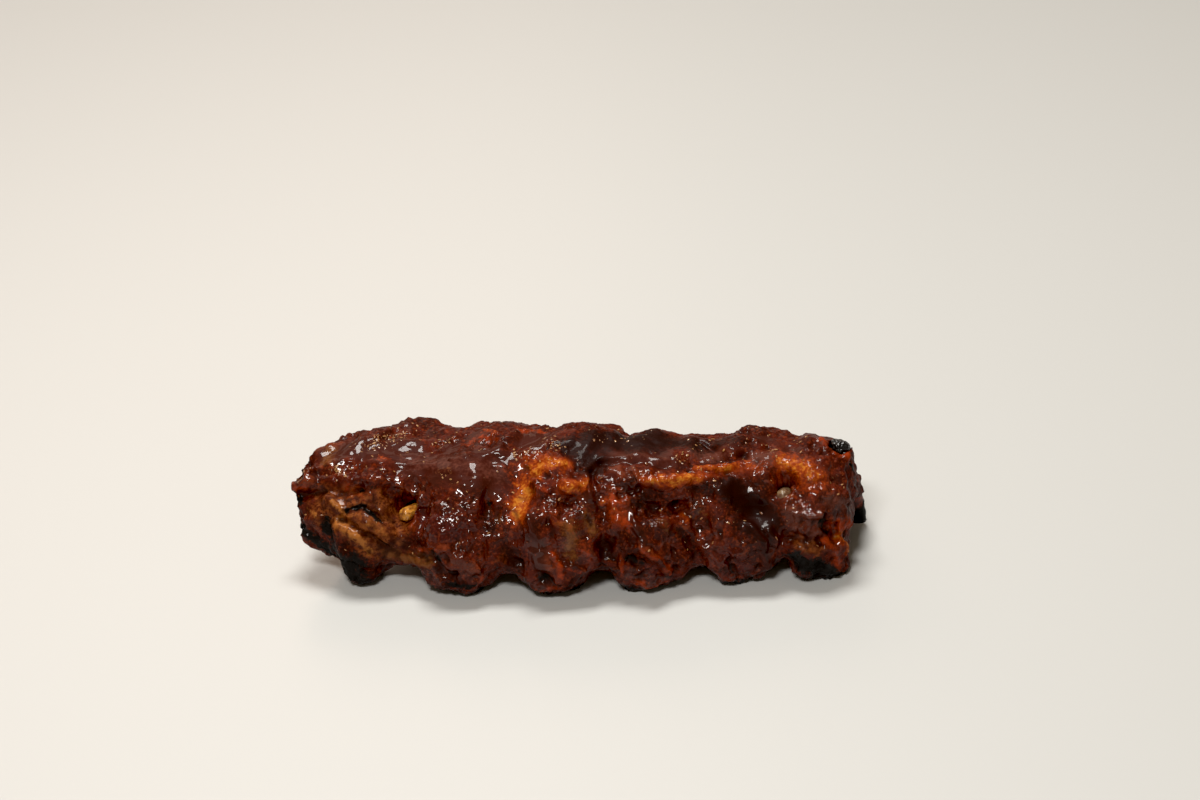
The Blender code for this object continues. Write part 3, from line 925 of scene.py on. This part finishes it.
# The bones are burnt up to about this height, with an edge that goes up and down
BONE_CHAR = (0.0048, 0.0038, 0.0034)
BURNT_BELOW = 7.0 * MM
SAUCED_ABOVE = 9.0 * MM
BURNT_EDGE = 12.0 * MM


def fleck_finish():
    f = Finish("spice_flecks_looks")
    f.set(Base_Color=f.mix(f.ramp(f.cloud(3.0), 0.35, 0.65), *FLECK_COLOURS))
    f.set(Roughness=0.35, Coat_Weight=0.8, Coat_Roughness=0.12, Coat_IOR=1.36)
    return f.material


def bone_finish():
    f = Finish("charred_bone_looks")
    height = f.node("SeparateXYZ", {"Vector": f.place}, "Z")
    stray = f.math("MULTIPLY", f.math("SUBTRACT", f.cloud(3.0), 0.5), BURNT_EDGE)
    height = f.math("ADD", height, stray)
    sauced = f.mix(f.ramp(f.cloud(1.6, detail=4.0, shift=12.0), 0.35, 0.65), *BONE_COLOURS)
    burnt = f.ramp(height, SAUCED_ABOVE, BURNT_BELOW)
    rough = f.bump(f.cloud(0.6, detail=4.0, shift=40.0), 0.25)
    gloss = f.ramp(height, BURNT_BELOW, SAUCED_ABOVE, 0.1, 0.6)
    f.set(Base_Color=f.mix(burnt, sauced, BONE_CHAR))
    f.set(Roughness=0.5, Specular_IOR_Level=0.05, Normal=rough)
    f.set(Coat_Weight=gloss, Coat_Roughness=0.08, Coat_IOR=1.35)
    return f.material


def char_finish():
    f = Finish("burnt_knob_looks")
    f.set(Base_Color=f.mix(f.ramp(f.cells(0.8), 0.1, 0.5), *KNOB_COLOURS))
    domes = f.bump(f.cells(1.4), -0.6)
    f.set(Roughness=0.5, Specular_IOR_Level=0.05, Normal=domes)
    f.set(Coat_Weight=1.0, Coat_Roughness=0.10, Coat_IOR=1.45, Coat_Normal=domes)
    return f.material


def gristle_finish(name, colours):
    f = Finish(name)
    f.set(Base_Color=f.mix(f.ramp(f.cloud(1.5), 0.35, 0.65), *colours), Roughness=0.3)
    f.set(Normal=f.bump(f.cloud(0.8), 0.2), Coat_Weight=0.6, Coat_Roughness=0.08, Coat_IOR=1.3)
    return f.material


# Bones and gristle

# How a node is worked up, in millimetres: the squares of its mesh, the height and the size of its lumps,
# and how far its surface is drawn in
Rough = namedtuple("Rough", "voxel height size drawn_in")
RIB = Rough(0.8, 0.35, 2.6, 0.15)
BACK_SPUR = Rough(0.3, 0.35, 1.2, 0.15)
LEFT_SPUR = Rough(0.3, 0.15, 1.8, 0.5)
RIGHT_SPUR = Rough(0.3, 0.25, 1.6, -0.4)


def worked_up(node, rough, finish):
    """A finer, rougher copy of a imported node, in its place."""
    mesh = bpy.data.meshes.new(node + "_skin")
    bm = welded(node)
    bm.to_mesh(mesh)
    bm.free()
    obj = new_object(node + "_skin", mesh)
    remesh(obj, rough.voxel)
    points = points_of(obj.data)
    broad, fine = Field(rough.size, 2.0), Field(rough.size / 2.3, 4.0)
    relief = rough.height * (lumps(points, broad) + 0.6 * lumps(points, fine))
    move_out(obj.data, relief - rough.drawn_in)
    keep_in_box(obj.data)
    obj.data.materials.clear()
    obj.data.materials.append(finish)
    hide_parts(node)
    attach(obj, "root")


def make_bones():
    bone = bone_finish()
    for number in range(1, 7):
        worked_up(f"rib_bone_{number}", RIB, bone)
    worked_up("bone_spur_back", BACK_SPUR, char_finish())
    yellow = gristle_finish("yellow_gristle_looks", YELLOW_GRISTLE)
    worked_up("gristle_spur_left", LEFT_SPUR, yellow)
    pale = gristle_finish("pale_gristle_looks", PALE_GRISTLE)
    worked_up("gristle_spur_right", RIGHT_SPUR, pale)


# Spice flecks

# A fleck's length is in millimetres, and its width and thickness are shares of its length
FLECKS = 900
FLECK_LENGTH = (0.25, 1.4)
FLECK_WIDTH = (0.3, 0.6)
FLECK_THICKNESS = (0.2, 0.35)
FLECK_TURN = (0.0, 6.28)
FLECK_SEED = 7

# They crowd in the middle of their marks, and a few lie all over the top
FLECK_CROWDING = 1.5
FLECKS_ON_TOP = 0.02


def make_flecks(skin):
    """Chips of spice that lie in the sauce, as one mesh."""
    mesh = skin.data
    points, normals = points_of(mesh), normals_of(mesh)
    share = np.empty(len(points))
    mesh.attributes["fleck"].data.foreach_get("value", share)
    share = share**FLECK_CROWDING + FLECKS_ON_TOP * step(0.2, 0.8, normals[:, 2])
    picker = np.random.default_rng(FLECK_SEED)
    picks = picker.choice(len(points), FLECKS, replace=False, p=share / share.sum())
    rng = random.Random(FLECK_SEED)
    shortest, longest = FLECK_LENGTH
    flecks = bmesh.new()
    for at, normal in zip(points[picks], normals[picks]):
        length = (shortest + (longest - shortest) * rng.random() ** 2) * MM
        width = length * rng.uniform(*FLECK_WIDTH)
        thickness = length * rng.uniform(*FLECK_THICKNESS)
        upright = Vector(normal).to_track_quat("Z", "Y").to_matrix().to_4x4()
        turn = upright @ Matrix.Rotation(rng.uniform(*FLECK_TURN), 4, "Z")
        size = Matrix.Diagonal((length, width, thickness, 1.0))
        put = Matrix.Translation(Vector(at) * MM) @ turn @ size
        bmesh.ops.create_icosphere(flecks, subdivisions=1, radius=0.5, matrix=put)
    made = bpy.data.meshes.new("spice_flecks")
    flecks.to_mesh(made)
    flecks.free()
    made.materials.append(fleck_finish())
    obj = new_object("spice_flecks", made)
    keep_in_box(made)
    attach(obj, "root")


# Stage

# Whatever is no brighter than this shows as black
BLACK = 0.0035

FLOOR_SIZE = 12.0
FLOOR_COLOUR = (0.515, 0.518, 0.505)
WORLD_COLOUR = (1.0, 0.82, 0.60)
WORLD_STRENGTH = 0.20

# The lamps all look at the middle of the frame. Where they stand and their size are in metres.
Softbox = namedtuple("Softbox", "name at size watts colour")
SOFTBOXES = (
    Softbox("front", (-0.15, -0.60, 0.80), (0.23, 0.15), 6.2, (1.0, 0.98, 0.95)),
    Softbox("overhead", (-0.05, 0.26, 0.96), (0.34, 0.22), 9.8, (1.0, 0.98, 0.94)),
    Softbox("behind", (-0.50, 1.3, 0.85), (1.2, 0.6), 3.8, (1.0, 0.74, 0.60)),
)


def make_floor():
    bpy.ops.mesh.primitive_plane_add(size=FLOOR_SIZE)
    floor = bpy.context.object
    floor.name = "floor"
    f = Finish("pale_floor")
    f.set(Base_Color=FLOOR_COLOUR, Roughness=0.35)
    floor.data.materials.append(f.material)


def make_softbox(box):
    data = bpy.data.lights.new(box.name, "AREA")
    data.shape = "RECTANGLE"
    data.size, data.size_y = box.size
    data.energy = box.watts
    data.color = box.colour
    lamp = new_object(box.name, data)
    at = Vector(box.at)
    turn = (-at).to_track_quat("-Z", "Y").to_matrix().to_4x4()
    lamp.matrix_world = Matrix.Translation(at) @ turn
    lamp.visible_camera = False


def make_light():
    world = bpy.data.worlds.new("studio")
    world.use_nodes = True
    background = world.node_tree.nodes["Background"]
    background.inputs["Color"].default_value = (*WORLD_COLOUR, 1.0)
    background.inputs["Strength"].default_value = WORLD_STRENGTH
    bpy.context.scene.world = world
    for box in SOFTBOXES:
        make_softbox(box)


def set_view():
    """The photograph's deep blacks."""
    view = bpy.context.scene.view_settings
    view.view_transform = "Standard"
    view.use_curve_mapping = True
    view.curve_mapping.black_level = (BLACK, BLACK, BLACK)
    view.curve_mapping.update()


camera = make_camera()
make_flecks(make_meat(surface_finder(camera)))
make_bones()
make_floor()
make_light()
set_view()
